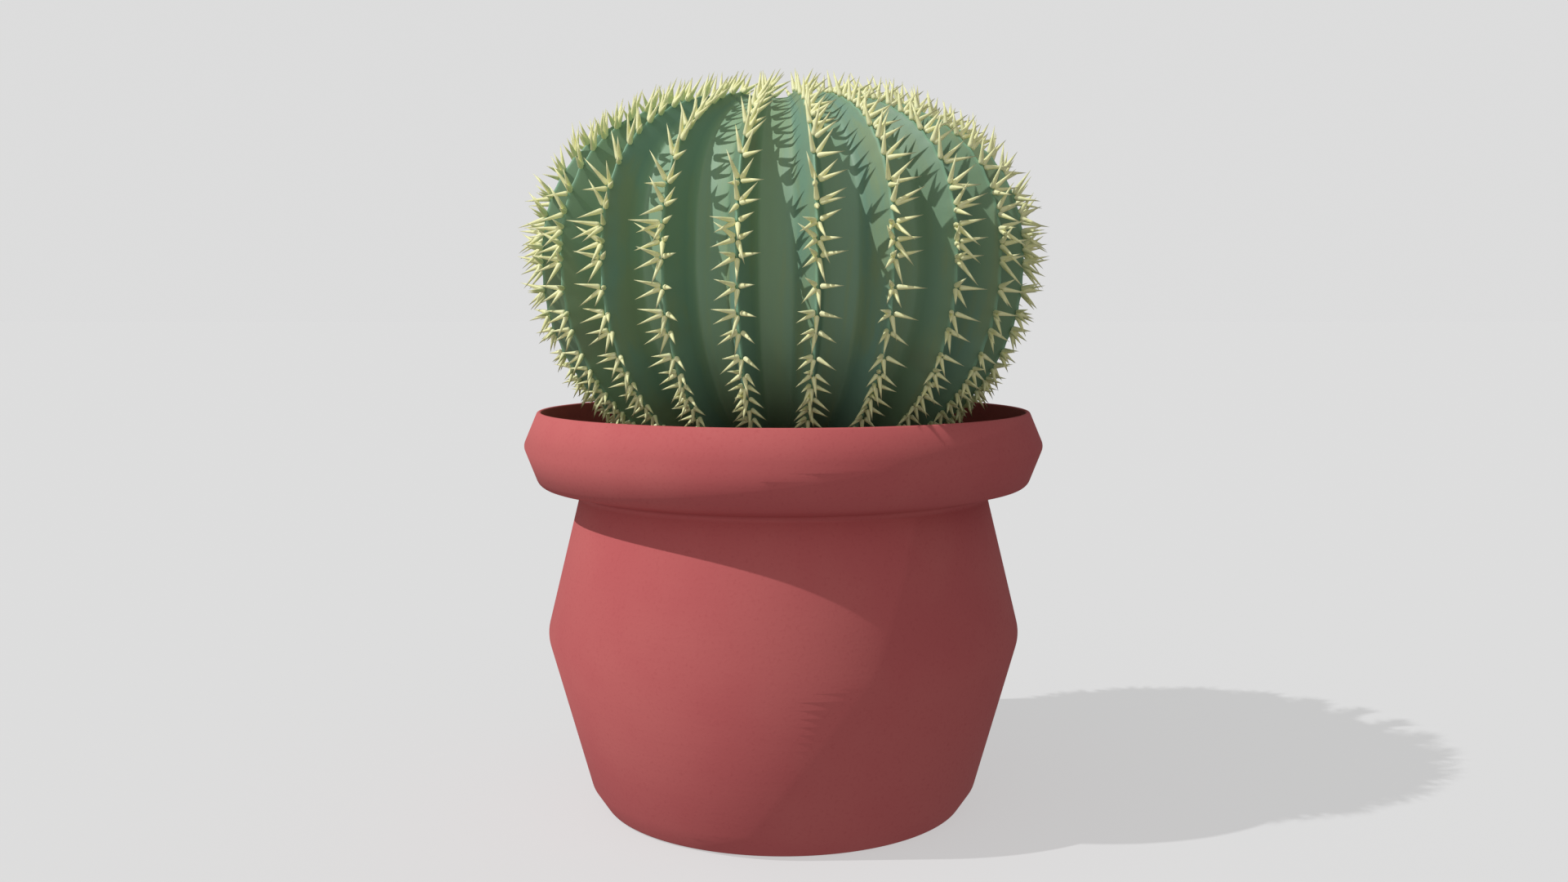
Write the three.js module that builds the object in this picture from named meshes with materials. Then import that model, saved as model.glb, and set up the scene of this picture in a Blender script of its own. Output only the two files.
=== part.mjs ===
// A round ribbed cactus in a wide-bellied clay pot, in millimetres, +Z up.
// The origin is the middle of the pot's foot, on the surface that the pot stands on.
// Its pieces are the pot, the soil, the ribbed stem, and a row of spines along the crest of each rib.

import * as THREE from "three";

// Fits between pieces that touch
const CLEARANCE = 0.3; // soil to pot
const SOCKET_CLEARANCE = 0.6; // stem to the soil that it sits in
const SPINE_CLEARANCE = 0.3; // areoles to the rib below them, and one row to the next

// Pot: outside corners of the body, from the foot up to the neck
const POT_HEIGHT = 138;
const FOOT_RADIUS = 62.9;
const BODY_FOOT_RADIUS = 67.9;
const BODY_FOOT_HEIGHT = 7.5;
const BELLY_RADIUS = 82.8;
const BELLY_HEIGHT = 61;
const NECK_RADIUS = 71;
const NECK_BELOW_LIP = 28.5;

// Pot: the heavy rim, which overhangs the neck, widens to its edge and draws in to the lip
const RIM_RADIUS = 90.2;
const RIM_EDGE_BELOW_LIP = 11.5;
const RIM_DEPTH = 25; // from the lip down to the underside of the rim
const UNDERSIDE_INSET = 5.2; // inside the edge
const LIP_INSET = 4.8; // inside the edge

// Pot: walls, floor, drain hole and the softness of its corners
const WALL = 6.5;
const LIP_WIDTH = 1.4;
const FLOOR = 8;
const FOOT_RECESS_RADIUS = 50;
const FOOT_RECESS_DEPTH = 2;
const DRAIN_RADIUS = 8;
const BELLY_ROUND = 14;
const EDGE_ROUND = 4;
const LIP_ROUND = 1.9;
const INNER_ROUND = 8;

// Soil
const SOIL_BELOW_LIP = 14; // at the wall of the pot
const SOIL_MOUND = 2.5; // how much higher it lies against the stem

// Stem, measured over the crests of its ribs
const STEM_RADIUS = 83.3;
const STEM_SUNK = 9; // how far its base is below the soil at the wall
const STEM_RISE = 58.5; // from the widest place up to the crown
const STEM_DROP = 72; // from the widest place down to the base, so that it bears on the soil
const SHOULDER_FULLNESS = 2.5; // exponent of the curve above the widest place: 2 is an ellipse
const CROWN_DIP = 11; // how far the middle of the crown is sunk
const CROWN_DIP_RADIUS = 17;

// Ribs
const RIBS = 22;
const FIRST_RIB_DEGREES = -83; // azimuth, counted anticlockwise from +X
const RIB_DEPTH = 15; // at the widest place
const CROWN_THINNING = 2; // the power of the radius by which the ribs grow shallower towards the crown
const BASE_THINNING = 0.8; // and towards the base
// The lines that shape the valley between two crests. Each is a share of the way from one crest to the next,
// anticlockwise, and a share of the depth there: a steep flank, a broad floor, and a less steep flank.
const VALLEY_LINES = [
  { share: 0, deep: 0 },
  { share: 0.19, deep: 0.97 },
  { share: 0.58, deep: 0.93 },
  { share: 0.735, deep: 0.86 },
];

// Spines, four to an areole
const AREOLES = 12; // in each row
const TOP_AREOLE_RADIUS = 18; // how far the highest areole is from the axis
const LOW_AREOLE_ABOVE_LIP = 12; // how high the lowest one is above the pot
const AREOLE_LENGTH = 3.2;
const AREOLE_WIDTH = 2.4;
const AREOLE_THICKNESS = 0.9;
const SPINE_LENGTH = 9;
const SPINE_TILT_DEGREES = 46; // away from the outward direction
// Each spine's turn about the outward direction, from the anticlockwise side of the rib towards the crown
const SPINE_TURNS = { upperLeft: 150, lowerLeft: 215, upperRight: 14, lowerRight: -58 };

// How finely round shapes are cut into flats
const POT_SIDES = 36;
const STEM_RINGS = 22;
const ROUND_STEPS = 2;
const SOCKET_STEPS = 6;
const CREST_SAMPLES = 400;

const LIP_RADIUS = RIM_RADIUS - LIP_INSET;
const MOUTH_RADIUS = LIP_RADIUS - LIP_WIDTH;
const NECK_HEIGHT = POT_HEIGHT - NECK_BELOW_LIP;
const UNDERSIDE_HEIGHT = POT_HEIGHT - RIM_DEPTH;
const SOIL_HEIGHT = POT_HEIGHT - SOIL_BELOW_LIP;
const STEM_MIDDLE_HEIGHT = SOIL_HEIGHT - STEM_SUNK + STEM_DROP;

// --- Outlines in the plane of a radius, x, and a height, y ---

const corner = (radius, height, round = 0) => ({ at: new THREE.Vector2(radius, height), round });

// The points of an outline through corners, each softened by an arc. A round is limited by its neighbours.
function softened(corners) {
  return corners.flatMap(({ at, round }, i) => {
    if (round === 0) return [at];
    const before = corners.at(i - 1).at.clone().sub(at);
    const after = corners[(i + 1) % corners.length].at.clone().sub(at);
    const room = 0.45 * Math.min(before.length(), after.length());
    const half = before.angleTo(after) / 2;
    const reach = Math.min(round / Math.tan(half), room);
    const [back, on] = [before.normalize(), after.normalize()];
    const toCentre = back.clone().add(on).normalize();
    const centre = at.clone().addScaledVector(toCentre, reach / Math.cos(half));
    const start = at.clone().addScaledVector(back, reach).sub(centre);
    const end = at.clone().addScaledVector(on, reach).sub(centre);
    const turn = Math.sign(start.cross(end)) * start.angleTo(end);
    return Array.from({ length: ROUND_STEPS + 1 }, (_, k) =>
      start.clone().rotateAround(new THREE.Vector2(), (turn * k) / ROUND_STEPS).add(centre),
    );
  });
}

// Turns an outline round the Z axis. The outline runs so that its material lies on its left.
const turned = (outline) => new THREE.LatheGeometry(outline, POT_SIDES).rotateX(Math.PI / 2);

// --- Pot ---

// The inside of the pot, from the lip down to the floor
const INNER_CORNERS = [
  corner(MOUTH_RADIUS, POT_HEIGHT, LIP_ROUND),
  corner(MOUTH_RADIUS, UNDERSIDE_HEIGHT + WALL, EDGE_ROUND),
  corner(NECK_RADIUS - WALL, NECK_HEIGHT + WALL / 2, EDGE_ROUND),
  corner(BELLY_RADIUS - WALL, BELLY_HEIGHT, BELLY_ROUND),
  corner(BODY_FOOT_RADIUS - WALL, FLOOR, INNER_ROUND),
];

function potGeometry() {
  const outline = softened([
    corner(DRAIN_RADIUS, FOOT_RECESS_DEPTH),
    corner(FOOT_RECESS_RADIUS, FOOT_RECESS_DEPTH),
    corner(FOOT_RECESS_RADIUS + FOOT_RECESS_DEPTH, 0),
    corner(FOOT_RADIUS, 0, LIP_ROUND),
    corner(BODY_FOOT_RADIUS, BODY_FOOT_HEIGHT, EDGE_ROUND),
    corner(BELLY_RADIUS, BELLY_HEIGHT, BELLY_ROUND),
    corner(NECK_RADIUS, NECK_HEIGHT, LIP_ROUND),
    corner(RIM_RADIUS - UNDERSIDE_INSET, UNDERSIDE_HEIGHT, EDGE_ROUND),
    corner(RIM_RADIUS, POT_HEIGHT - RIM_EDGE_BELOW_LIP, EDGE_ROUND),
    corner(LIP_RADIUS, POT_HEIGHT, LIP_ROUND),
    ...INNER_CORNERS,
    corner(DRAIN_RADIUS, FLOOR),
  ]);
  return turned([...outline, outline[0]]);
}

// --- Stem ---

// The crest of a rib in the plane of its radius and height, from the base of the stem, 0, to the crown, 1.
class CrestLine extends THREE.Curve {
  constructor() {
    super();
    this.arcLengthDivisions = CREST_SAMPLES;
  }

  getPoint(t, target = new THREE.Vector2()) {
    const angle = Math.PI * (t - 0.5);
    const [out, up] = [Math.cos(angle), Math.sin(angle)];
    if (up < 0) return target.set(STEM_RADIUS * out, STEM_MIDDLE_HEIGHT + STEM_DROP * up);
    const power = 2 / SHOULDER_FULLNESS;
    const radius = STEM_RADIUS * Math.max(out, 0) ** power;
    const dip = CROWN_DIP * Math.exp(-((radius / CROWN_DIP_RADIUS) ** 2));
    return target.set(radius, STEM_MIDDLE_HEIGHT + STEM_RISE * up ** power - dip);
  }
}

const CREST = new CrestLine();
const CREST_LENGTH = CREST.getLength();

// The ribs grow shallower towards the crown and the base, with the radius.
function ribDepth(crest) {
  const thinning = crest.y > STEM_MIDDLE_HEIGHT ? CROWN_THINNING : BASE_THINNING;
  return RIB_DEPTH * (crest.x / STEM_RADIUS) ** thinning;
}

// The outward direction on the crest is its tangent, which points to the crown, turned a quarter clockwise.
const outwards = (tangent) => new THREE.Vector2(tangent.y, -tangent.x);

function stemGeometry() {
  const columns = RIBS * VALLEY_LINES.length;
  const base = CREST.getPointAt(0);
  const crown = CREST.getPointAt(1);
  const points = [0, 0, base.y];
  for (let ring = 1; ring < STEM_RINGS; ring++) {
    const crest = CREST.getPointAt(ring / STEM_RINGS);
    const out = outwards(CREST.getTangentAt(ring / STEM_RINGS));
    for (let column = 0; column < columns; column++) {
      const { share, deep } = VALLEY_LINES[column % VALLEY_LINES.length];
      const rib = Math.floor(column / VALLEY_LINES.length);
      const azimuth = THREE.MathUtils.degToRad(FIRST_RIB_DEGREES + (360 / RIBS) * (rib + share));
      const at = crest.clone().addScaledVector(out, -ribDepth(crest) * deep);
      points.push(at.x * Math.cos(azimuth), at.x * Math.sin(azimuth), at.y);
    }
  }
  points.push(0, 0, crown.y);

  const faces = [];
  const last = points.length / 3 - 1;
  const vertex = (ring, column) => 1 + (ring - 1) * columns + (column % columns);
  for (let column = 0; column < columns; column++) {
    faces.push(0, vertex(1, column + 1), vertex(1, column));
    faces.push(last, vertex(STEM_RINGS - 1, column), vertex(STEM_RINGS - 1, column + 1));
    for (let ring = 1; ring < STEM_RINGS - 1; ring++) {
      const [a, b] = [vertex(ring, column), vertex(ring, column + 1)];
      const [c, d] = [vertex(ring + 1, column + 1), vertex(ring + 1, column)];
      faces.push(a, b, c, a, c, d);
    }
  }
  return meshed(points, faces);
}

function meshed(points, faces) {
  const geometry = new THREE.BufferGeometry();
  geometry.setAttribute("position", new THREE.Float32BufferAttribute(points, 3));
  geometry.setIndex(faces);
  geometry.computeVertexNormals();
  return geometry;
}

// --- Soil ---

// The share of the crest line's length at which it first reaches a height, going up from the base.
function shareAtHeight(height) {
  let share = 0;
  while (CREST.getPointAt(share).y < height) share += 1 / CREST_SAMPLES;
  return share;
}

// The inside of the pot as the soil meets it, from the floor up to the soil's edge.
function filledOutline() {
  const whole = softened([corner(LIP_RADIUS, POT_HEIGHT), ...INNER_CORNERS, corner(0, FLOOR)]).reverse();
  const above = whole.findIndex(({ y }) => y > SOIL_HEIGHT);
  const [low, high] = [whole[above - 1], whole[above]];
  const edge = low.clone().lerp(high, (SOIL_HEIGHT - low.y) / (high.y - low.y));
  return [...whole.slice(0, above), edge];
}

function soilGeometry() {
  const filled = filledOutline();
  const walls = filled.slice(1, -1).map((point, i) => {
    const along = filled[i + 2].clone().sub(filled[i]).normalize();
    return point.clone().addScaledVector(new THREE.Vector2(-along.y, along.x), CLEARANCE);
  });
  const bottom = new THREE.Vector2(0, FLOOR + CLEARANCE);
  const edge = new THREE.Vector2(filled.at(-1).x - CLEARANCE, SOIL_HEIGHT);

  const shareAtSoil = shareAtHeight(SOIL_HEIGHT + SOIL_MOUND);
  const socket = Array.from({ length: SOCKET_STEPS + 1 }, (_, k) => {
    const share = shareAtSoil * (1 - k / SOCKET_STEPS);
    const out = outwards(CREST.getTangentAt(share));
    return CREST.getPointAt(share).addScaledVector(out, SOCKET_CLEARANCE);
  });
  socket[SOCKET_STEPS].x = 0;
  return turned([bottom, ...walls, edge, ...socket]);
}

// --- Spine rows ---

// Where the areoles of a row lie, as shares of the crest line's length, from the crown down.
function areoleShares() {
  let highest = 1;
  while (CREST.getPointAt(highest).x < TOP_AREOLE_RADIUS) highest -= 1 / CREST_SAMPLES;
  const lowest = shareAtHeight(POT_HEIGHT + LOW_AREOLE_ABOVE_LIP);
  return Array.from({ length: AREOLES }, (_, k) => THREE.MathUtils.lerp(highest, lowest, k / (AREOLES - 1)));
}

// Half the width that a row may take at a distance from the axis, so that it stays clear of the next row.
const halfWedge = (radius) => Math.abs(radius) * Math.tan(Math.PI / RIBS) - SPINE_CLEARANCE / 2;

// A row lies along one crest in the XZ plane. It is a thin three-sided seam of felt that joins the areoles,
// and at each areole the two outer sides rise into four spines, each a pyramid.
function spineRowGeometry() {
  const shares = areoleShares();
  const half = AREOLE_LENGTH / 2 / CREST_LENGTH;
  const gap = (shares[0] - shares[1]) * CREST_LENGTH - AREOLE_LENGTH;
  const lift = SPINE_CLEARANCE + gap ** 2 / (8 * tightestBend(shares[0], shares.at(-1)));
  const stations = shares.flatMap((share) => [share + half, share, share - half]);

  const points = [];
  const faces = [];
  const add = (radius, side, height) => points.push(radius, side, height) / 3 - 1;

  const rings = stations.map((share) => {
    const crest = CREST.getPointAt(share);
    const out = outwards(CREST.getTangentAt(share));
    const inner = crest.clone().addScaledVector(out, lift);
    const outer = crest.clone().addScaledVector(out, lift + AREOLE_THICKNESS);
    const side = Math.min(AREOLE_WIDTH / 2, halfWedge(inner.x));
    return {
      left: add(inner.x, -side, inner.y),
      right: add(inner.x, side, inner.y),
      top: add(outer.x, 0, outer.y),
    };
  });

  const quad = (a, b, c, d) => faces.push(a, b, c, a, c, d);
  const pyramid = (tip, ...base) => base.forEach((a, k) => faces.push(a, base[(k + 1) % base.length], tip));

  rings.slice(1).forEach((low, i) => {
    const high = rings[i];
    quad(high.left, high.right, low.right, low.left);
    const leftSide = [high.top, high.left, low.left, low.top];
    const rightSide = [high.right, high.top, low.top, low.right];
    const place = i % 3; // 0 is the upper half of an areole, 1 its lower half, 2 the seam to the next one
    if (place === 2) {
      quad(...leftSide);
      quad(...rightSide);
      return;
    }
    const share = stations[i - place + 1];
    const [left, right] = place === 0 ? ["upperLeft", "upperRight"] : ["lowerLeft", "lowerRight"];
    pyramid(add(...spineTip(share, SPINE_TURNS[left])), ...leftSide);
    pyramid(add(...spineTip(share, SPINE_TURNS[right])), ...rightSide);
  });
  const [first, final] = [rings[0], rings.at(-1)];
  faces.push(first.left, first.top, first.right);
  faces.push(final.left, final.right, final.top);
  return meshed(points, faces);
}

// The smallest radius at which the crest line bends between two shares of its length.
function tightestBend(from, to) {
  const step = 1 / CREST_SAMPLES;
  let sharpest = 0;
  for (let share = to; share < from; share += step) {
    const bend = CREST.getTangentAt(share).angleTo(CREST.getTangentAt(share + step));
    sharpest = Math.max(sharpest, bend);
  }
  return (step * CREST_LENGTH) / sharpest;
}

// The point of a spine that leaves the areole at a share of the crest line, turned about the outward
// direction.
function spineTip(share, turnDegrees) {
  const tilt = THREE.MathUtils.degToRad(SPINE_TILT_DEGREES);
  const turn = THREE.MathUtils.degToRad(turnDegrees);
  const tangent = CREST.getTangentAt(share);
  const tip = CREST.getPointAt(share)
    .addScaledVector(outwards(tangent), SPINE_LENGTH * Math.cos(tilt))
    .addScaledVector(tangent, SPINE_LENGTH * Math.sin(tilt) * Math.sin(turn));
  const limit = halfWedge(tip.x);
  const side = THREE.MathUtils.clamp(SPINE_LENGTH * Math.sin(tilt) * Math.cos(turn), -limit, limit);
  return [tip.x, side, tip.y];
}

// --- The object ---

const clay = new THREE.MeshStandardMaterial({ color: 0xb96062, roughness: 0.75, metalness: 0 });
const grit = new THREE.MeshStandardMaterial({ color: 0x4a3b30, roughness: 0.95, metalness: 0 });
const flesh = new THREE.MeshStandardMaterial({ color: 0x5a8468, roughness: 0.55, metalness: 0 });
const straw = new THREE.MeshStandardMaterial({ color: 0xe6dea0, roughness: 0.6, metalness: 0 });

const cactus = new THREE.Group();

function addPiece(name, geometry, material) {
  const mesh = new THREE.Mesh(geometry, material.clone());
  mesh.name = name;
  cactus.add(mesh);
  return mesh;
}

addPiece("pot", potGeometry(), clay);
addPiece("soil", soilGeometry(), grit);
addPiece("cactus_stem", stemGeometry(), flesh);

const row = spineRowGeometry();
for (let rib = 0; rib < RIBS; rib++) {
  const name = `spine_row_${String(rib + 1).padStart(2, "0")}`;
  const mesh = addPiece(name, row, straw);
  mesh.rotation.z = THREE.MathUtils.degToRad(FIRST_RIB_DEGREES + (360 / RIBS) * rib);
}

export default cactus;
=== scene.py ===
import math

import bpy
import numpy as np
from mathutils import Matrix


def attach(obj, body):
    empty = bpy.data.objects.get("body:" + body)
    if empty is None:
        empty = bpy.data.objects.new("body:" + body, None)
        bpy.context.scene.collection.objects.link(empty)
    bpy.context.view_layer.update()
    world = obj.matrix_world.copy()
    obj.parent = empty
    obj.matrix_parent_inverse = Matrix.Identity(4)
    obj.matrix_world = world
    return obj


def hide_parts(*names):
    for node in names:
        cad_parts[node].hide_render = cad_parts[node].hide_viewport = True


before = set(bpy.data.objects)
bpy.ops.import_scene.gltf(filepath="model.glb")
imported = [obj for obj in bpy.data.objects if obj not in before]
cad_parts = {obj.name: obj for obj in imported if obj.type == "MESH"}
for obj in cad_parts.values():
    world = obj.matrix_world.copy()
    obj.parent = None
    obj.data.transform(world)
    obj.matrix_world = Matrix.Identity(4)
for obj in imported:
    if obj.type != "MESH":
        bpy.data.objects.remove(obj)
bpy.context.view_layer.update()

# ---------------------------------------------------------------------------
# Pot: a wide-bellied flowerpot with a heavy rolled rim and a drain hole in its foot.
# It is red earthenware, thrown on a wheel, coloured with a matte slip and fired once.
# The whole pot is one profile turned round the upright axis.
# ---------------------------------------------------------------------------

MM = 0.001
POT_SIDES = 256
CORNER_STEPS = 7
ARC_ROOM = 0.45
LONGEST_RUN = 3.0

# Radius, height, rounding and softness of each corner, from the drain hole round the outside and back
# through the inside. At a softness of 1 the surface's shading runs on smoothly across the corner, as on
# sponged clay.
POT_CORNERS = np.array([
    [8.0, 2.0, 0.6, 0],
    [50.0, 2.0, 0.6, 0],
    [52.0, 0.0, 0.6, 0],
    [62.9, 0.0, 1.9, 0],
    [67.9, 7.5, 4.0, 0.9],
    [82.8, 61.0, 14.0, 0.9],
    [71.0, 109.5, 1.9, 0],
    [85.0, 113.0, 4.0, 0.6],
    [90.2, 126.5, 4.0, 0.9],
    [85.4, 138.0, 1.9, 0.4],
    [84.0, 138.0, 1.9, 0],
    [84.0, 119.5, 4.0, 0],
    [64.5, 112.75, 4.0, 0],
    [76.3, 61.0, 14.0, 0],
    [61.4, 8.0, 8.0, 0],
    [8.0, 8.0, 0.6, 0],
])

SLIP_RED = "#C86364"
SLIP_RED_WORN = "#CC6A69"
SLIP_RED_DEEP = "#B95759"


def unit(vectors):
    """Each vector divided by its length."""
    return vectors / np.linalg.norm(vectors, axis=-1, keepdims=True)


def rounded_outline(corners, steps, longest):
    """The outline through corners, each softened by an arc, and the outward directions along it.

    An arc touches both sides at its rounding divided by the tangent of half the corner's angle, or at
    ARC_ROOM of the shorter side. Straight runs are then cut into pieces no longer than the longest. A
    direction goes evenly from one corner's to the next one's, and a soft corner's is half way between those
    of its two sides.
    """
    at, rounding, softness = corners[:, :2], corners[:, 2], corners[:, 3:]
    back, on = np.roll(at, 1, axis=0) - at, np.roll(at, -1, axis=0) - at
    room = ARC_ROOM * np.minimum(np.linalg.norm(back, axis=1), np.linalg.norm(on, axis=1))
    back, on = unit(back), unit(on)
    half = np.arccos(np.clip((back * on).sum(axis=1), -1, 1)) / 2
    reach = np.minimum(rounding / np.tan(half), room)
    centre = at + unit(back + on) * (reach / np.cos(half))[:, None]
    start = at + back * reach[:, None] - centre
    end = at + on * reach[:, None] - centre
    turn = np.arctan2(start[:, 0] * end[:, 1] - start[:, 1] * end[:, 0], (start * end).sum(axis=1))
    share = np.linspace(0, 1, steps)
    cosine, sine = np.cos(turn[:, None] * share), np.sin(turn[:, None] * share)
    arcs = np.stack([
        centre[:, :1] + start[:, :1] * cosine - start[:, 1:] * sine,
        centre[:, 1:] + start[:, :1] * sine + start[:, 1:] * cosine,
    ], axis=2).reshape(-1, 2)
    after = np.stack([on[:, 1], -on[:, 0]], axis=1)
    before = np.roll(after, 1, axis=0)
    hard = before[:, None] * (1 - share)[:, None] + after[:, None] * share[:, None]
    outward = hard * (1 - softness[:, None]) + unit(before + after)[:, None] * softness[:, None]
    outward = unit(outward.reshape(-1, 2))
    following, outward_on = np.roll(arcs, -1, axis=0), np.roll(outward, -1, axis=0)
    pieces = np.maximum(np.ceil(np.linalg.norm(following - arcs, axis=1) / longest).astype(int), 1)
    first = np.repeat(np.arange(len(arcs)), pieces)
    place_in_run = np.arange(pieces.sum()) - np.repeat(np.cumsum(pieces) - pieces, pieces)
    along = (place_in_run / pieces[first])[:, None]
    outline = arcs[first] * (1 - along) + following[first] * along
    return outline, unit(outward[first] * (1 - along) + outward_on[first] * along)


def turned(outline, sides):
    """An outline turned round the upright axis: radius times cosine and sine of the azimuth, and height."""
    azimuth = np.linspace(0, 2 * np.pi, sides, endpoint=False)
    radius, height = outline[:, :1], outline[:, 1:]
    flat = np.stack([radius * np.cos(azimuth), radius * np.sin(azimuth)], axis=2)
    return np.concatenate([flat, np.broadcast_to(height[:, :, None], (*flat.shape[:2], 1))], axis=2)


def grid_quads(rings, columns, ring_closes=False):
    """The four-sided faces of a grid of rings.

    Its columns run anticlockwise, seen against the direction in which the rings follow one another.
    """
    ring = np.arange(rings if ring_closes else rings - 1)[:, None]
    column = np.arange(columns)[None, :]
    above, beside = (ring + 1) % rings, (column + 1) % columns
    return np.stack([
        ring * columns + column,
        ring * columns + beside,
        above * columns + beside,
        above * columns + column,
    ], axis=2).reshape(-1, 4)


def pole_triangles(rings, columns):
    """The triangles that close a grid at both ends, on two points that follow the grid's own."""
    column = np.arange(columns)
    beside = (column + 1) % columns
    first, last = rings * columns, rings * columns + 1
    top = (rings - 1) * columns
    low = np.stack([np.full(columns, first), beside, column], axis=1)
    high = np.stack([np.full(columns, last), top + column, top + beside], axis=1)
    return np.concatenate([low, high])


def add_piece(name, points, quads, triangles, material, slot, *nodes):
    """Puts points, in millimetres, and faces into a smooth piece that stands for the given CAD nodes."""
    mesh = bpy.data.meshes.new(name)
    faces = quads.tolist() + (triangles.tolist() if triangles is not None else [])
    mesh.from_pydata((points.reshape(-1, 3) * MM).tolist(), [], faces)
    mesh.update()
    mesh.shade_smooth()
    mesh.materials.append(material)
    piece = bpy.data.objects.new(name, mesh)
    bpy.context.scene.collection.objects.link(piece)
    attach(piece, "root")
    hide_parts(*nodes)
    return piece


def linear(code):
    """An sRGB hex colour as linear red, green, blue and alpha."""
    encoded = np.array([int(code[i:i + 2], 16) for i in (1, 3, 5)]) / 255
    light = np.where(encoded <= 0.04045, encoded / 12.92, ((encoded + 0.055) / 1.055) ** 2.4)
    return (*light.tolist(), 1.0)


def new_material(name):
    """An empty node material with its output."""
    material = bpy.data.materials.new(name)
    material.use_nodes = True
    material.node_tree.nodes.clear()
    return material


def add_node(material, kind, sockets, **settings):
    """Adds one node, sets its properties, and fills its sockets with values or other nodes' outputs."""
    node = material.node_tree.nodes.new("ShaderNode" + kind)
    for key, value in settings.items():
        setattr(node, key, value)
    for key, value in sockets.items():
        if isinstance(value, bpy.types.NodeSocket):
            material.node_tree.links.new(value, node.inputs[key])
        else:
            node.inputs[key].default_value = value
    return node


# Earthenware under matte slip: even dusty red that turns a little paler and deeper in soft clouds a few
# centimetres wide, with a sandy grain and the faintest turning lines, and only a broad dull gleam.
slip = new_material("matte_slip_on_earthenware")
place = add_node(slip, "TexCoord", {}).outputs["Object"]
clouds = add_node(slip, "TexNoise", {
    "Vector": place, "Scale": 1 / (45 * MM), "Detail": 3.0, "Roughness": 0.5,
})
cloud_share = add_node(slip, "MapRange", {
    "Value": clouds.outputs["Fac"], "From Min": 0.35, "From Max": 0.65,
}, interpolation_type="SMOOTHSTEP").outputs["Result"]
grain = add_node(slip, "TexNoise", {
    "Vector": place, "Scale": 1 / (1.1 * MM), "Detail": 4.0, "Roughness": 0.6,
}).outputs["Fac"]
stretched = add_node(slip, "Mapping", {"Vector": place, "Scale": (0.05, 0.05, 1.0)}).outputs["Vector"]
turning = add_node(slip, "TexNoise", {
    "Vector": stretched, "Scale": 1 / (2.2 * MM), "Detail": 2.0, "Roughness": 0.5,
}).outputs["Fac"]
cloudy = add_node(slip, "Mix", {
    0: cloud_share, 6: linear(SLIP_RED), 7: linear(SLIP_RED_WORN),
}, data_type="RGBA").outputs[2]
speck_share = add_node(slip, "MapRange", {
    "Value": grain, "From Min": 0.55, "From Max": 0.75, "To Max": 0.4,
}).outputs["Result"]
speckled = add_node(slip, "Mix", {
    0: speck_share, 6: cloudy, 7: linear(SLIP_RED_DEEP),
}, data_type="RGBA").outputs[2]
dullness = add_node(slip, "MapRange", {
    "Value": grain, "From Min": 0.3, "From Max": 0.7, "To Min": 0.72, "To Max": 0.86,
}).outputs["Result"]
lined = add_node(slip, "Bump", {
    "Height": turning, "Strength": 0.12, "Distance": 0.25 * MM,
}).outputs["Normal"]
sandy = add_node(slip, "Bump", {
    "Height": grain, "Strength": 0.25, "Distance": 0.15 * MM, "Normal": lined,
}).outputs["Normal"]
shader = add_node(slip, "BsdfPrincipled", {
    "Base Color": speckled,
    "Roughness": dullness,
    "Normal": sandy,
    "IOR": 1.5,
    "Specular IOR Level": 0.25,
})
add_node(slip, "OutputMaterial", {"Surface": shader.outputs["BSDF"]})

pot_outline, pot_outward = rounded_outline(POT_CORNERS, CORNER_STEPS, LONGEST_RUN)
pot_quads = grid_quads(len(pot_outline), POT_SIDES, ring_closes=True)
pot = add_piece("flower_pot", turned(pot_outline, POT_SIDES), pot_quads, None, slip, "clay", "pot")
pot.data.normals_split_custom_set_from_vertices(turned(pot_outward, POT_SIDES).reshape(-1, 3).tolist())

# ---------------------------------------------------------------------------
# Soil: gritty cactus mix that fills the pot to a finger below the lip and lies a little higher at the stem.
# It is peat and bark with sharp sand. One turned body carries the lumpy top, and loose grit lies on it.
# ---------------------------------------------------------------------------

SOIL_EDGE_RADIUS = 83.7
SOIL_EDGE_HEIGHT = 124.0
SOIL_MOUND = 2.5
SOIL_INNER_RADIUS = 36.0
SOIL_TOP_RINGS = 44
SOIL_SIDES = 288
SOIL_LUMP = 0.7
CLOD_SIZE = 9
CRUMB_SIZE = 3.2
LEVEL_EDGE = 3
GRIT_STONES = 420
GRIT_SIZE = (0.7, 1.7)
GRIT_FROM, GRIT_TO = 48, 82.4
GRIT_PROUD = 0.2

PEAT = "#3B2B20"
BARK = "#5A4230"
SHARP_SAND = "#9C8A70"
QUARTZ_BUFF = "#A8947A"
QUARTZ_GREY = "#86807A"

# Radius and height of the side of the soil, which follows the inside of the pot from its floor to the edge
soil_wall = np.array([
    [0.0, 8.4],
    [54.0, 8.4],
    [60.5, 12.0],
    [76.0, 61.0],
    [64.2, 112.7],
    [83.7, 119.6],
])
top_radius = np.linspace(SOIL_EDGE_RADIUS, SOIL_INNER_RADIUS, SOIL_TOP_RINGS)
# Under the stem the soil dips, out of sight
soil_hidden = np.array([[20.0, SOIL_EDGE_HEIGHT - 14.0], [0.0, SOIL_EDGE_HEIGHT - 16.0]])


def mound(radius):
    """The height of level soil: a mound that rises evenly from the edge to the inner radius."""
    rise_share = (SOIL_EDGE_RADIUS - radius) / (SOIL_EDGE_RADIUS - SOIL_INNER_RADIUS)
    return SOIL_EDGE_HEIGHT + SOIL_MOUND * rise_share


soil_top = np.stack([top_radius, mound(top_radius)], axis=1)
soil_outline = np.concatenate([soil_wall, soil_top, soil_hidden])


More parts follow.
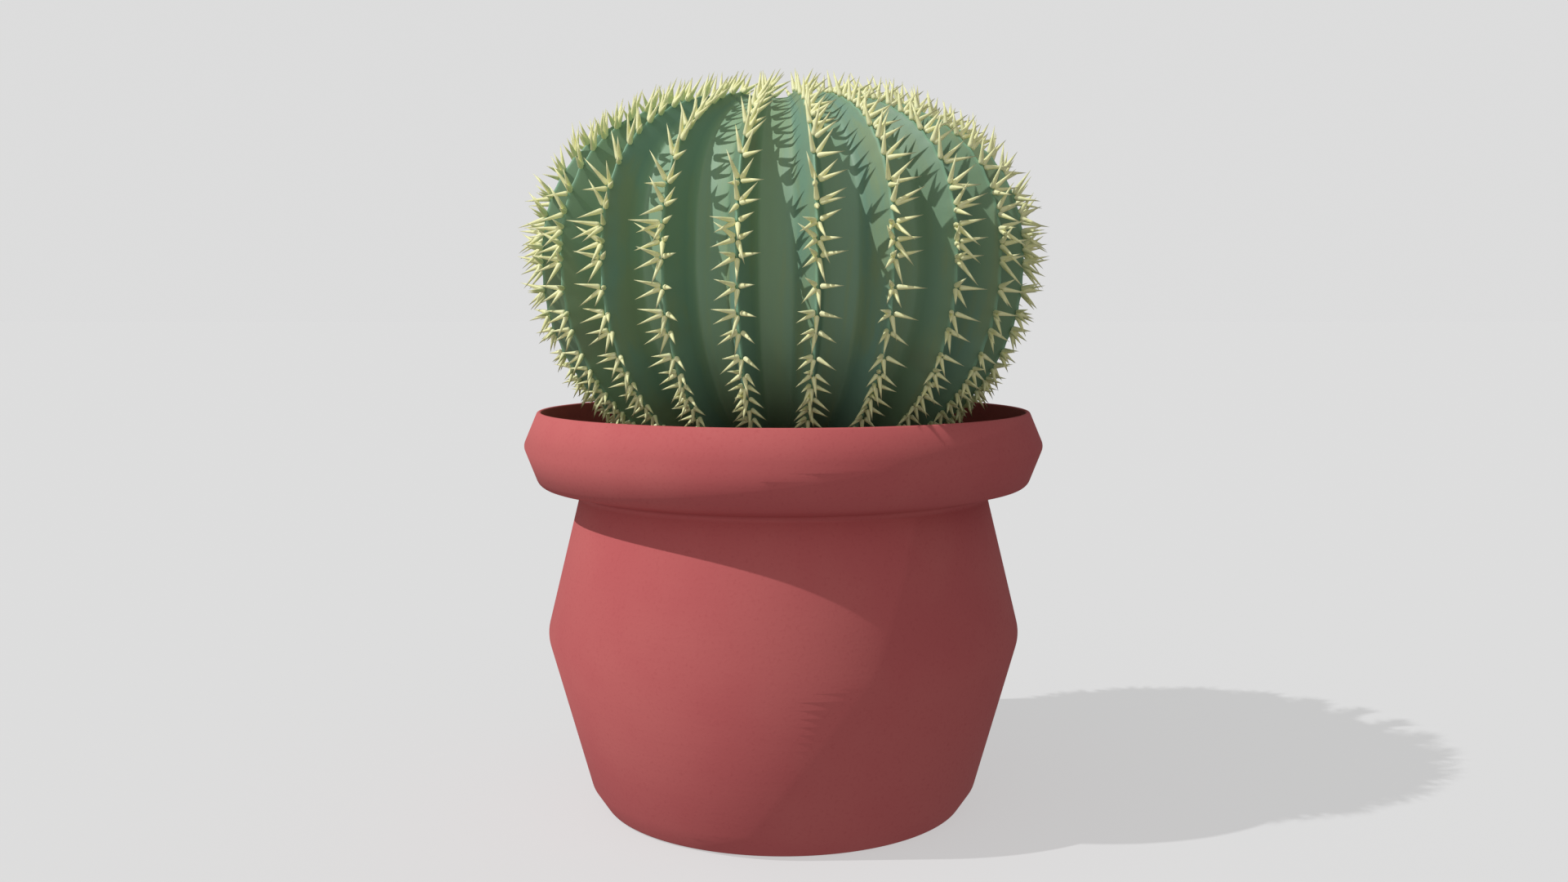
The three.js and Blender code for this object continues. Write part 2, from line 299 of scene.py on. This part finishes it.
def lumps(points, size, seed):
    """Soft lumps as a height at each point: eight waves of about one size, in seeded directions, summed."""
    draw = np.random.default_rng(seed)
    heading = draw.normal(size=(8, 3))
    heading /= np.linalg.norm(heading, axis=1, keepdims=True)
    wave = 2 * np.pi / (size * draw.uniform(0.7, 1.5, 8))
    phase = draw.uniform(0, 2 * np.pi, 8)
    return np.sin(points @ (heading * wave[:, None]).T + phase).sum(axis=-1) / math.sqrt(8)


def clods(points, radius):
    """How far the lumps lift each point: large lumps plus half as many small ones, less near the edge."""
    fade = np.clip((SOIL_EDGE_RADIUS - radius) / LEVEL_EDGE, 0, 1)
    return SOIL_LUMP * (lumps(points, CLOD_SIZE, 3) + 0.5 * lumps(points, CRUMB_SIZE, 4)) * fade


soil_points = turned(soil_outline[1:-1], SOIL_SIDES)
top_rings = slice(len(soil_wall) - 1, len(soil_wall) - 1 + len(soil_top))
top_points = soil_points[top_rings]
top_points[:, :, 2] += clods(top_points, top_radius[:, None])
soil_poles = np.array([[0, 0, soil_outline[0, 1]], [0, 0, soil_outline[-1, 1]]])
soil_all = np.concatenate([soil_points.reshape(-1, 3), soil_poles])
soil_rings = len(soil_outline) - 2

# Damp potting mix: near-black peat with paler shreds of bark and light sand, rough and without any gleam.
mix_soil = new_material("gritty_cactus_mix")
place = add_node(mix_soil, "TexCoord", {}).outputs["Object"]
crumbs = add_node(mix_soil, "TexVoronoi", {"Vector": place, "Scale": 1 / (1.6 * MM)})
shreds = add_node(mix_soil, "TexNoise", {
    "Vector": place, "Scale": 1 / (4 * MM), "Detail": 4.0, "Roughness": 0.65,
}).outputs["Fac"]
bark_share = add_node(mix_soil, "MapRange", {
    "Value": shreds, "From Min": 0.45, "From Max": 0.62,
}).outputs["Result"]
peaty = add_node(mix_soil, "Mix", {
    0: bark_share, 6: linear(PEAT), 7: linear(BARK),
}, data_type="RGBA").outputs[2]
crumb_value = add_node(mix_soil, "SeparateColor", {"Color": crumbs.outputs["Color"]}).outputs["Red"]
sand_share = add_node(mix_soil, "MapRange", {
    "Value": crumb_value, "From Min": 0.9, "From Max": 0.93,
}).outputs["Result"]
sanded = add_node(mix_soil, "Mix", {
    0: sand_share, 6: peaty, 7: linear(SHARP_SAND),
}, data_type="RGBA").outputs[2]
crumbled = add_node(mix_soil, "Bump", {
    "Height": crumbs.outputs["Distance"], "Strength": 0.7, "Distance": 0.6 * MM,
}, invert=True).outputs["Normal"]
shader = add_node(mix_soil, "BsdfPrincipled", {
    "Base Color": sanded, "Roughness": 0.95, "Normal": crumbled, "IOR": 1.4,
})
add_node(mix_soil, "OutputMaterial", {"Surface": shader.outputs["BSDF"]})

soil_quads = grid_quads(soil_rings, SOIL_SIDES)
soil_ends = pole_triangles(soil_rings, SOIL_SIDES)
add_piece("potting_mix", soil_all, soil_quads, soil_ends, mix_soil, "soil", "soil")


def frames_round(direction):
    """Two unit vectors square to each direction and to each other, so that the three turn anticlockwise."""
    helper = np.where(np.abs(direction[..., 2:]) < 0.9, [0.0, 0.0, 1.0], [1.0, 0.0, 0.0])
    side = np.cross(helper, direction)
    side /= np.linalg.norm(side, axis=-1, keepdims=True)
    return side, np.cross(direction, side)


def repeated(faces, copies, points_each):
    """The faces of many like shapes, whose points follow one another."""
    shift = (np.arange(copies) * points_each)[:, None, None]
    return (faces[None] + shift).reshape(-1, faces.shape[1])


# Each grain of grit is a ball of three rings of six points, squashed and pushed about by a seeded amount.
draw = np.random.default_rng(11)
stone_ring = np.array([-0.7, 0.0, 0.7])
stone_turn = np.linspace(0, 2 * np.pi, 6, endpoint=False)
girth = np.sqrt(1 - stone_ring ** 2)
ball = np.stack([
    girth[:, None] * np.cos(stone_turn),
    girth[:, None] * np.sin(stone_turn),
    np.broadcast_to(stone_ring[:, None], (3, 6)),
], axis=2).reshape(-1, 3)
ball = np.concatenate([ball, [[0, 0, -1.0], [0, 0, 1.0]]])
stone_size = draw.uniform(*GRIT_SIZE, (GRIT_STONES, 1, 1)) / 2
stone_shape = draw.uniform(0.65, 1.0, (GRIT_STONES, 1, 3))
stone_shape = stone_shape * draw.uniform(0.85, 1.1, (GRIT_STONES, len(ball), 1))
stone_azimuth = draw.uniform(0, 2 * np.pi, GRIT_STONES)
stone_radius = np.sqrt(draw.uniform(GRIT_FROM ** 2, GRIT_TO ** 2, GRIT_STONES))
stone_place = np.stack([
    stone_radius * np.cos(stone_azimuth),
    stone_radius * np.sin(stone_azimuth),
    mound(stone_radius),
], axis=1)
stone_place[:, 2] += clods(stone_place, stone_radius) + GRIT_PROUD
grit_points = ball * stone_size * stone_shape + stone_place[:, None, :]

# Washed quartz grit: pale buff to grey grains, each its own shade, with broken matte faces.
quartz = new_material("washed_quartz_grit")
place = add_node(quartz, "TexCoord", {}).outputs["Object"]
shade = add_node(quartz, "TexNoise", {"Vector": place, "Scale": 1 / (5 * MM), "Detail": 2.0}).outputs["Fac"]
grey_share = add_node(quartz, "MapRange", {
    "Value": shade, "From Min": 0.35, "From Max": 0.65,
}).outputs["Result"]
grains = add_node(quartz, "Mix", {
    0: grey_share, 6: linear(QUARTZ_BUFF), 7: linear(QUARTZ_GREY),
}, data_type="RGBA").outputs[2]
shader = add_node(quartz, "BsdfPrincipled", {"Base Color": grains, "Roughness": 0.8, "IOR": 1.54})
add_node(quartz, "OutputMaterial", {"Surface": shader.outputs["BSDF"]})

grit_quads = repeated(grid_quads(3, 6), GRIT_STONES, len(ball))
grit_ends = repeated(pole_triangles(3, 6), GRIT_STONES, len(ball))
add_piece("top_grit", grit_points, grit_quads, grit_ends, quartz, "soil", "soil")

# ---------------------------------------------------------------------------
# Stem: one round cactus body with 22 sharp ribs that run from the soil to a sunken crown.
# It is living flesh under a waxy blue-green skin. The surface is a grid of rings, which follow the crest
# line from the base to the crown, and of columns, which run round and dip into the valleys between ribs.
# ---------------------------------------------------------------------------

STEM_RADIUS = 83.3
STEM_MIDDLE_HEIGHT = 187.0
STEM_RISE = 58.5
STEM_DROP = 72.0
SHOULDER_FULLNESS = 2.5
CROWN_DIP = 11.0
CROWN_DIP_RADIUS = 17.0
RIBS = 22
FIRST_RIB = math.radians(-83)
RIB_DEPTH = 15.0
CREST_SOFTNESS = 0.016
# The powers of the radius by which the ribs grow shallower towards the crown and towards the base
CROWN_THINNING = 2.0
BASE_THINNING = 0.8
AREOLE_SWELLING = 0.45
SWELLING_ALONG = 1.9
SWELLING_ACROSS = 1.8
FLESH_WAVE = 0.22
FLESH_WAVE_SIZE = 28
STEM_RINGS = 170
CREST_SAMPLES = 6001
TANGENT_REACH = 0.4

SKIN_GREEN = "#7D9B79"
SKIN_BLUE = "#779B86"
SKIN_YELLOW = "#889B72"
SKIN_OLIVE = "#7D8B6D"
SKIN_CREST = "#8DBB9C"
# Painted light: a lighter tone laid into the valleys to lift the shade that falls there
SKIN_VALLEY_PAINTED_LIGHT = "#9DBB97"

# The valley between two crests, as shares of the way from one crest to the next and shares of its depth: a
# steep flank, a broad floor, and a less steep flank
VALLEY_LINES = np.array([
    [0.0, 0.0],
    [0.19, 0.97],
    [0.3, 1.0],
    [0.45, 0.975],
    [0.58, 0.93],
    [0.69, 0.875],
    [0.735, 0.84],
    [1.0, 0.0],
])

# Distances of the areoles from the middle of the crown, along the crest of every rib
AREOLE_STATIONS = np.array([
    11.0, 18.0, 25.0, 33.5, 41.5, 48.9, 55.5, 61.9, 67.7, 73.0, 79.0, 85.9, 94.5,
    101.4, 106.7, 111.9, 117.0, 125.9, 133.7, 139.3, 147.7, 153.6, 158.1, 162.7, 167.2, 171.7, 177.0,
])

# The crest line's radius, height and length, sampled finely from the base, 0, to the crown, 1
angle = np.pi * (np.linspace(0, 1, CREST_SAMPLES) - 0.5)
out, up = np.maximum(np.cos(angle), 0), np.sin(angle)
power = np.where(up < 0, 1, 2 / SHOULDER_FULLNESS)
crest_radius = STEM_RADIUS * out ** power
crest_height = STEM_MIDDLE_HEIGHT + np.where(up < 0, STEM_DROP * up, STEM_RISE * np.abs(up) ** power)
crest_height -= np.where(up < 0, 0, CROWN_DIP * np.exp(-((crest_radius / CROWN_DIP_RADIUS) ** 2)))
steps = np.hypot(np.diff(crest_radius), np.diff(crest_height))
crest_length = np.concatenate([[0], np.cumsum(steps)])
whole_length = crest_length[-1]


def on_crest(distance):
    """The crest at distances from the base along it: its radius, its height, and its unit tangent.

    The tangent points to the crown. It is how much radius and height change between two places close by.
    """
    radius = np.interp(distance, crest_length, crest_radius)
    height = np.interp(distance, crest_length, crest_height)
    before, after = distance - TANGENT_REACH, distance + TANGENT_REACH
    across = np.interp(after, crest_length, crest_radius) - np.interp(before, crest_length, crest_radius)
    upward = np.interp(after, crest_length, crest_height) - np.interp(before, crest_length, crest_height)
    length = np.hypot(across, upward)
    return radius, height, across / length, upward / length


def rib_shape(share):
    """How deep the flesh lies below the crests, 0 to 1, between one crest, 0, and the next, 1.

    It runs straight from line to line of the valley. A bell curve softens it, and the softened crest is
    brought back to 0.
    """
    fine = np.linspace(0, 1, 2000, endpoint=False)
    sharp = np.interp(fine, *VALLEY_LINES.T)
    offset = np.minimum(fine, 1 - fine)
    bell = np.exp(-((offset / CREST_SOFTNESS) ** 2) / 2)
    soft = np.real(np.fft.ifft(np.fft.fft(sharp) * np.fft.fft(bell / bell.sum())))
    soft -= soft.min()
    return np.interp(share % 1, np.append(fine, 1), np.append(soft, soft[0]))


# The columns of one rib, closest together where its section bends
rib_shares = np.array([
    0.0, 0.01, 0.022, 0.038, 0.07, 0.11, 0.145, 0.17, 0.188, 0.208, 0.235, 0.29,
    0.37, 0.46, 0.55, 0.63, 0.685, 0.715, 0.74, 0.775, 0.83, 0.89, 0.94, 0.965, 0.985,
])
columns = RIBS * len(rib_shares)
share = np.tile(rib_shares, RIBS)
azimuth = FIRST_RIB + (np.repeat(np.arange(RIBS), len(rib_shares)) + share) * 2 * np.pi / RIBS
along = np.linspace(0, whole_length, STEM_RINGS + 2)[1:-1]
radius, height, across, upward = (v[:, None] for v in on_crest(along))

# Depth under the crests shrinks with the radius, and the crest swells a little under each areole
shape = rib_shape(share)[None, :]
from_areole = np.abs((whole_length - along)[:, None, None] - AREOLE_STATIONS).min(axis=2)
from_crest = np.minimum(share, 1 - share)[None, :] * radius * 2 * np.pi / RIBS
swelling = AREOLE_SWELLING * np.exp(
    -((from_areole / SWELLING_ALONG) ** 2) - (from_crest / SWELLING_ACROSS) ** 2)
thinning = np.where(height > STEM_MIDDLE_HEIGHT, CROWN_THINNING, BASE_THINNING)
depth = RIB_DEPTH * (radius / STEM_RADIUS) ** thinning * shape - swelling
flat_radius = radius - upward * depth
stem_grid = np.stack([
    flat_radius * np.cos(azimuth),
    flat_radius * np.sin(azimuth),
    np.broadcast_to(height, flat_radius.shape) + across * depth,
], axis=2)
# Shallow waves in the flesh, none on the crests and fewer near the axis
outward = np.stack([
    upward * np.cos(azimuth),
    upward * np.sin(azimuth),
    np.broadcast_to(-across, flat_radius.shape),
], axis=2)
wave = FLESH_WAVE * lumps(stem_grid, FLESH_WAVE_SIZE, 21)
wave = wave * np.clip(shape * 3, 0, 1) * np.clip(radius / 30, 0, 1)
stem_grid += outward * wave[:, :, None]
stem_poles = np.array([[0, 0, crest_height[0]], [0, 0, crest_height[-1]]])
stem_points = np.concatenate([stem_grid.reshape(-1, 3), stem_poles])

# Waxy epidermis: blue-green with soft streaks that run with the ribs, grey-blue, yellow-green and olive. The
# sharp crests catch a thin paler line. The valleys are painted lighter and yellower, which is painted light
# that lifts the shade deep between the ribs.
skin = new_material("waxy_cactus_skin")
run = add_node(skin, "Attribute", {}, attribute_name="rib_run", attribute_type="GEOMETRY").outputs["Vector"]
lie = add_node(skin, "Attribute", {}, attribute_name="rib_lie", attribute_type="GEOMETRY").outputs["Fac"]
long_run = add_node(skin, "Mapping", {"Vector": run, "Scale": (1.0, 1.0, 0.09)}).outputs["Vector"]
broad = add_node(skin, "TexNoise", {
    "Vector": long_run, "Scale": 1 / (14 * MM), "Detail": 2.0, "Roughness": 0.5,
}).outputs["Fac"]
fine = add_node(skin, "TexNoise", {
    "Vector": long_run, "Scale": 1 / (4 * MM), "Detail": 3.0, "Roughness": 0.55,
}).outputs["Fac"]
patch = add_node(skin, "TexNoise", {
    "Vector": run, "Scale": 1 / (38 * MM), "Detail": 3.0, "Roughness": 0.5,
}).outputs["Fac"]
blue_share = add_node(skin, "MapRange", {
    "Value": broad, "From Min": 0.4, "From Max": 0.62,
}, interpolation_type="SMOOTHSTEP").outputs["Result"]
yellow_share = add_node(skin, "MapRange", {
    "Value": fine, "From Min": 0.48, "From Max": 0.7, "To Max": 0.75,
}, interpolation_type="SMOOTHSTEP").outputs["Result"]
olive_share = add_node(skin, "MapRange", {
    "Value": patch, "From Min": 0.55, "From Max": 0.72, "To Max": 0.6,
}, interpolation_type="SMOOTHSTEP").outputs["Result"]
# Painted light: from 0.6 of their depth down, the valleys are mixed towards a lighter tone to lift their
# shade
valley_painted_light_share = add_node(skin, "MapRange", {
    "Value": lie, "From Min": 0.6, "From Max": 1.0, "To Max": 0.7,
}).outputs["Result"]
crest_share = add_node(skin, "MapRange", {
    "Value": lie, "From Min": 0.07, "From Max": 0.0, "To Max": 0.8,
}).outputs["Result"]
colour = linear(SKIN_GREEN)
for amount, tone in (
    (blue_share, SKIN_BLUE),
    (yellow_share, SKIN_YELLOW),
    (olive_share, SKIN_OLIVE),
    (valley_painted_light_share, SKIN_VALLEY_PAINTED_LIGHT),
    (crest_share, SKIN_CREST),
):
    colour = add_node(skin, "Mix", {0: amount, 6: colour, 7: linear(tone)}, data_type="RGBA").outputs[2]
pores = add_node(skin, "TexNoise", {"Vector": run, "Scale": 1 / (0.9 * MM), "Detail": 2.0}).outputs["Fac"]
streaked = add_node(skin, "Bump", {"Height": fine, "Strength": 0.2, "Distance": 0.4 * MM}).outputs["Normal"]
pored = add_node(skin, "Bump", {
    "Height": pores, "Strength": 0.15, "Distance": 0.1 * MM, "Normal": streaked,
}).outputs["Normal"]
waxiness = add_node(skin, "MapRange", {
    "Value": fine, "From Min": 0.3, "From Max": 0.7, "To Min": 0.48, "To Max": 0.62,
}).outputs["Result"]
shader = add_node(skin, "BsdfPrincipled", {
    "Base Color": colour, "Roughness": waxiness, "Normal": pored, "IOR": 1.42,
})
add_node(skin, "OutputMaterial", {"Surface": shader.outputs["BSDF"]})

stem_quads = grid_quads(STEM_RINGS, columns)
stem_ends = pole_triangles(STEM_RINGS, columns)
stem = add_piece("ribbed_stem", stem_points, stem_quads, stem_ends, skin, "flesh", "cactus_stem")

# Where each point lies: round the stem and along the rib, in metres, and how far down from the crest, 0 to 1
rib_run = np.stack([
    np.broadcast_to(STEM_RADIUS * np.cos(azimuth), flat_radius.shape),
    np.broadcast_to(STEM_RADIUS * np.sin(azimuth), flat_radius.shape),
    np.broadcast_to(along[:, None], flat_radius.shape),
], axis=2).reshape(-1, 3)
rib_run = np.concatenate([rib_run, [[0, 0, 0], [0, 0, whole_length]]]) * MM
rib_lie = np.append(np.broadcast_to(shape, flat_radius.shape).reshape(-1), [0.5, 0.5])
run_data = stem.data.attributes.new("rib_run", "FLOAT_VECTOR", "POINT").data
run_data.foreach_set("vector", rib_run.astype(np.float32).ravel())
lie_data = stem.data.attributes.new("rib_lie", "FLOAT", "POINT").data
lie_data.foreach_set("value", rib_lie.astype(np.float32))

# ---------------------------------------------------------------------------
# Spines: along the crest of each rib, areoles from which three or four stout straw-coloured spines spread.
# A spine is dry woody tissue, a slender cone with a rounded foot. The spines of one rib are one piece.
# ---------------------------------------------------------------------------

SPINE_LENGTH = 9.1
SPINE_FOOT_RADIUS = 0.88
SPINE_FOOT_SPREAD = 0.95
SPINE_FOOT_PROUD = 0.25
SPINE_FOOT_DOME = 0.45

# Distances from the crown at which an areole gains its fourth spine, and its spines turn as at the waist
FOURTH_SPINE_FROM = 92.0
WAIST_FROM = 104.0
# Spines grow to their full length over the first distances, and are shorter past the second ones
YOUNG = (18.0, 34.0)
YOUNG_LENGTH = 0.45
OLD = (115.0, 160.0)
OLD_LENGTH = 0.68

STRAW = "#FCFBC1"
STRAW_SHADOW = "#EFEA9E"
STRAW_FOOT = "#FCFCD2"

# Turn about the outward direction, from the anticlockwise side towards the crown, and tilt away from it
SHOULDER_SPINES = np.array([[-2, 55], [40, 42], [102, 38], [262, 36]])
WAIST_SPINES = np.array([[-5, 50], [-82, 40], [152, 40], [212, 50]])

# A spine is rings of seven points: share of its length, and share of its foot's radius
SPINE_SIDES = 7
spine_profile = np.array([[0.0, 0.72], [0.035, 0.98], [0.09, 1.0], [0.5, 0.56]])


def cones(foot, direction, length, girth):
    """Slender cones as arrays of rings: the foot, plus a share of the length along the direction, plus the
    profile's radius round it. Two points for the ends follow each cone's rings."""
    side, other = frames_round(direction)
    turn = np.linspace(0, 2 * np.pi, SPINE_SIDES, endpoint=False)
    circle = side[:, None, None, :] * np.cos(turn)[:, None] + other[:, None, None, :] * np.sin(turn)[:, None]
    ring_radius = girth[:, None] * spine_profile[:, 1]
    ring_place = length[:, None] * spine_profile[:, 0]
    rings = (
        foot[:, None, None, :]
        + direction[:, None, None, :] * ring_place[:, :, None, None]
        + circle * ring_radius[:, :, None, None]
    )
    low = foot - direction * (girth * SPINE_FOOT_DOME)[:, None]
    tip = foot + direction * length[:, None]
    return np.concatenate([rings.reshape(len(foot), -1, 3), low[:, None], tip[:, None]], axis=1)


spine_points_each = len(spine_profile) * SPINE_SIDES + 2
spine_quads = grid_quads(len(spine_profile), SPINE_SIDES)
spine_ends = pole_triangles(len(spine_profile), SPINE_SIDES)

# Dry spine tissue: pale straw with fine lengthwise fibres, creamier at the foot and a shade browner in the
# grooves, and a soft horny gleam.
straw = new_material("dry_cactus_spine")
run = add_node(straw, "Attribute", {}, attribute_name="spine_run", attribute_type="GEOMETRY")
lengthwise = add_node(straw, "Mapping", {
    "Vector": run.outputs["Vector"], "Scale": (1.0, 1.0, 0.12),
}).outputs["Vector"]
fibres = add_node(straw, "TexNoise", {
    "Vector": lengthwise, "Scale": 1 / (0.55 * MM), "Detail": 2.0, "Roughness": 0.6,
}).outputs["Fac"]
up_spine = add_node(
    straw, "Attribute", {}, attribute_name="spine_share", attribute_type="GEOMETRY").outputs["Fac"]
groove_share = add_node(straw, "MapRange", {
    "Value": fibres, "From Min": 0.45, "From Max": 0.7, "To Max": 0.6,
}).outputs["Result"]
foot_share = add_node(straw, "MapRange", {
    "Value": up_spine, "From Min": 0.3, "From Max": 0.02, "To Max": 0.6,
}).outputs["Result"]
colour = linear(STRAW)
for amount, tone in ((groove_share, STRAW_SHADOW), (foot_share, STRAW_FOOT)):
    colour = add_node(straw, "Mix", {0: amount, 6: colour, 7: linear(tone)}, data_type="RGBA").outputs[2]
fibrous = add_node(straw, "Bump", {
    "Height": fibres, "Strength": 0.25, "Distance": 0.1 * MM,
}).outputs["Normal"]
shader = add_node(straw, "BsdfPrincipled", {
    "Base Color": colour, "Roughness": 0.55, "Normal": fibrous, "IOR": 1.5,
})
add_node(straw, "OutputMaterial", {"Surface": shader.outputs["BSDF"]})

# Spreads of turn and tilt, in degrees, and length: shared by one station of every rib, and each spine's own
SHARED_SPREAD = (14, 7, 0.7)
OWN_SPREAD = (5, 3, 0.4)

common = np.random.default_rng(5)
spine_table = (len(AREOLE_STATIONS), 4)
shared_turn, shared_tilt, shared_length = (common.normal(0, spread, spine_table) for spread in SHARED_SPREAD)

at_waist = (AREOLE_STATIONS > WAIST_FROM)[:, None, None]
pattern = np.where(at_waist, WAIST_SPINES, SHOULDER_SPINES)
youth = np.interp(AREOLE_STATIONS, YOUNG, (YOUNG_LENGTH, 1))
grown = (youth * np.interp(AREOLE_STATIONS, OLD, (1, OLD_LENGTH)))[:, None]
present = np.ones(spine_table, dtype=bool)
present[AREOLE_STATIONS < FOURTH_SPINE_FROM, 3] = False

for rib in range(RIBS):
    own = np.random.default_rng(100 + rib)
    kept = present.copy()
    kept[0] &= rib % 2 == 0
    own_turn, own_tilt, own_length = (own.normal(0, spread, spine_table) for spread in OWN_SPREAD)
    turn = np.radians(pattern[:, :, 0] + shared_turn + own_turn)
    tilt = np.radians(pattern[:, :, 1] + shared_tilt + own_tilt)
    length = (SPINE_LENGTH + shared_length + own_length) * grown
    radius, height, across, upward = on_crest(whole_length - AREOLE_STATIONS)
    azimuth = FIRST_RIB + rib * 2 * np.pi / RIBS
    radial = np.array([math.cos(azimuth), math.sin(azimuth), 0])
    beside = np.array([-math.sin(azimuth), math.cos(azimuth), 0])
    vertical = np.array([0.0, 0.0, 1.0])
    outward = upward[:, None] * radial - across[:, None] * vertical
    crownward = across[:, None] * radial + upward[:, None] * vertical
    centre = radius[:, None] * radial + height[:, None] * vertical
    spread = np.cos(turn)[:, :, None] * beside + np.sin(turn)[:, :, None] * crownward[:, None, :]
    direction = np.cos(tilt)[:, :, None] * outward[:, None, :] + np.sin(tilt)[:, :, None] * spread
    foot = centre[:, None, :] + outward[:, None, :] * SPINE_FOOT_PROUD + spread * SPINE_FOOT_SPREAD
    girth = SPINE_FOOT_RADIUS * np.broadcast_to(0.6 + 0.4 * grown, length.shape)
    points = cones(foot[kept], direction[kept], length[kept], girth[kept])
    count = len(points)
    row = add_piece(
        f"spines_{rib + 1:02d}",
        points,
        repeated(spine_quads, count, spine_points_each),
        repeated(spine_ends, count, spine_points_each),
        straw,
        "spines",
        f"spine_row_{rib + 1:02d}",
    )
    ring_turn = np.linspace(0, 2 * np.pi, SPINE_SIDES, endpoint=False)
    local = np.concatenate([
        np.stack([
            spine_profile[:, 1:] * SPINE_FOOT_RADIUS * np.cos(ring_turn),
            spine_profile[:, 1:] * SPINE_FOOT_RADIUS * np.sin(ring_turn),
            np.broadcast_to(spine_profile[:, :1] * SPINE_LENGTH, (len(spine_profile), SPINE_SIDES)),
        ], axis=2).reshape(-1, 3),
        [[0, 0, 0], [0, 0, SPINE_LENGTH]],
    ])
    spine_run = (local[None] + own.uniform(-40, 40, (count, 1, 3))) * MM
    spine_share = np.tile(local[:, 2] / SPINE_LENGTH, count)
    row.data.attributes.new("spine_run", "FLOAT_VECTOR", "POINT").data.foreach_set(
        "vector", spine_run.astype(np.float32).ravel())
    row.data.attributes.new("spine_share", "FLOAT", "POINT").data.foreach_set(
        "value", spine_share.astype(np.float32))

# ---------------------------------------------------------------------------
# Studio: a plain pale floor, one soft key light high on the left, even fill from all round, and the camera.
# ---------------------------------------------------------------------------

FLOOR_HALF = 40.0
FLOOR_BELOW = 0.0002
FLOOR_GLOW = 0.499
FLOOR_GREY = 0.26
BACKDROP = 0.72
FILL = 0.28
FRONT_FILL = 0.36
FILL_FROM = (-0.35, -0.92, 0.18)
KEY_FROM = (-0.629, -0.229, 0.743)
KEY_STRENGTH = 2.3
KEY_ANGLE = 0.7
floor_mesh = bpy.data.meshes.new("studio_floor")
floor_mesh.from_pydata([
    (-FLOOR_HALF, -FLOOR_HALF, -FLOOR_BELOW),
    (FLOOR_HALF, -FLOOR_HALF, -FLOOR_BELOW),
    (FLOOR_HALF, FLOOR_HALF, -FLOOR_BELOW),
    (-FLOOR_HALF, FLOOR_HALF, -FLOOR_BELOW),
], [], [(0, 1, 2, 3)])
floor = bpy.data.objects.new("studio_floor", floor_mesh)
bpy.context.scene.collection.objects.link(floor)
floor.visible_diffuse = False
floor.visible_glossy = False

# A lit table top of opal plastic: most of its brightness comes from below, so that shadows on it stay faint
opal = new_material("lit_opal_table")
glow = add_node(opal, "Emission", {"Color": (1, 1, 1, 1), "Strength": FLOOR_GLOW}).outputs["Emission"]
face = add_node(opal, "BsdfDiffuse", {"Color": (FLOOR_GREY, FLOOR_GREY, FLOOR_GREY, 1.0)}).outputs["BSDF"]
both = add_node(opal, "AddShader", {0: glow, 1: face}).outputs["Shader"]
add_node(opal, "OutputMaterial", {"Surface": both})
floor_mesh.materials.append(opal)

world = bpy.data.worlds.new("studio")
bpy.context.scene.world = world
world.use_nodes = True
world.node_tree.nodes.clear()
seen = add_node(world, "LightPath", {}).outputs["Is Camera Ray"]
towards = add_node(world, "TexCoord", {}).outputs["Generated"]
facing = add_node(world, "VectorMath", {
    0: towards, 1: FILL_FROM,
}, operation="DOT_PRODUCT").outputs["Value"]
ahead = add_node(world, "Math", {0: facing, 1: 0.0}, operation="MAXIMUM").outputs["Value"]
lobe = add_node(world, "Math", {0: ahead, 1: 3.0}, operation="POWER").outputs["Value"]
level = add_node(world, "Math", {0: lobe, 1: FRONT_FILL, 2: FILL}, operation="MULTIPLY_ADD").outputs["Value"]
fill = add_node(world, "Background", {"Color": (1, 1, 1, 1), "Strength": level}).outputs["Background"]
backdrop = add_node(world, "Background", {"Color": (1, 1, 1, 1), "Strength": BACKDROP}).outputs["Background"]
either = add_node(world, "MixShader", {0: seen, 1: fill, 2: backdrop}).outputs["Shader"]
add_node(world, "OutputWorld", {"Surface": either})

key_light = bpy.data.lights.new("key", "SUN")
key_light.energy = KEY_STRENGTH
key_light.angle = math.radians(KEY_ANGLE)
key = bpy.data.objects.new("key", key_light)
key.rotation_euler = (math.acos(KEY_FROM[2]), 0, math.atan2(KEY_FROM[1], KEY_FROM[0]) + math.pi / 2)
bpy.context.scene.collection.objects.link(key)

lens = bpy.data.cameras.new("camera")
lens.lens = 33.375
lens.sensor_width = 36.0
camera = bpy.data.objects.new("camera", lens)
camera.location = (0.0002, -0.510, 0.171)
camera.rotation_euler = (math.radians(85.05), 0, 0)
bpy.context.scene.collection.objects.link(camera)
bpy.context.scene.camera = camera
bpy.context.scene.view_settings.view_transform = "Standard"
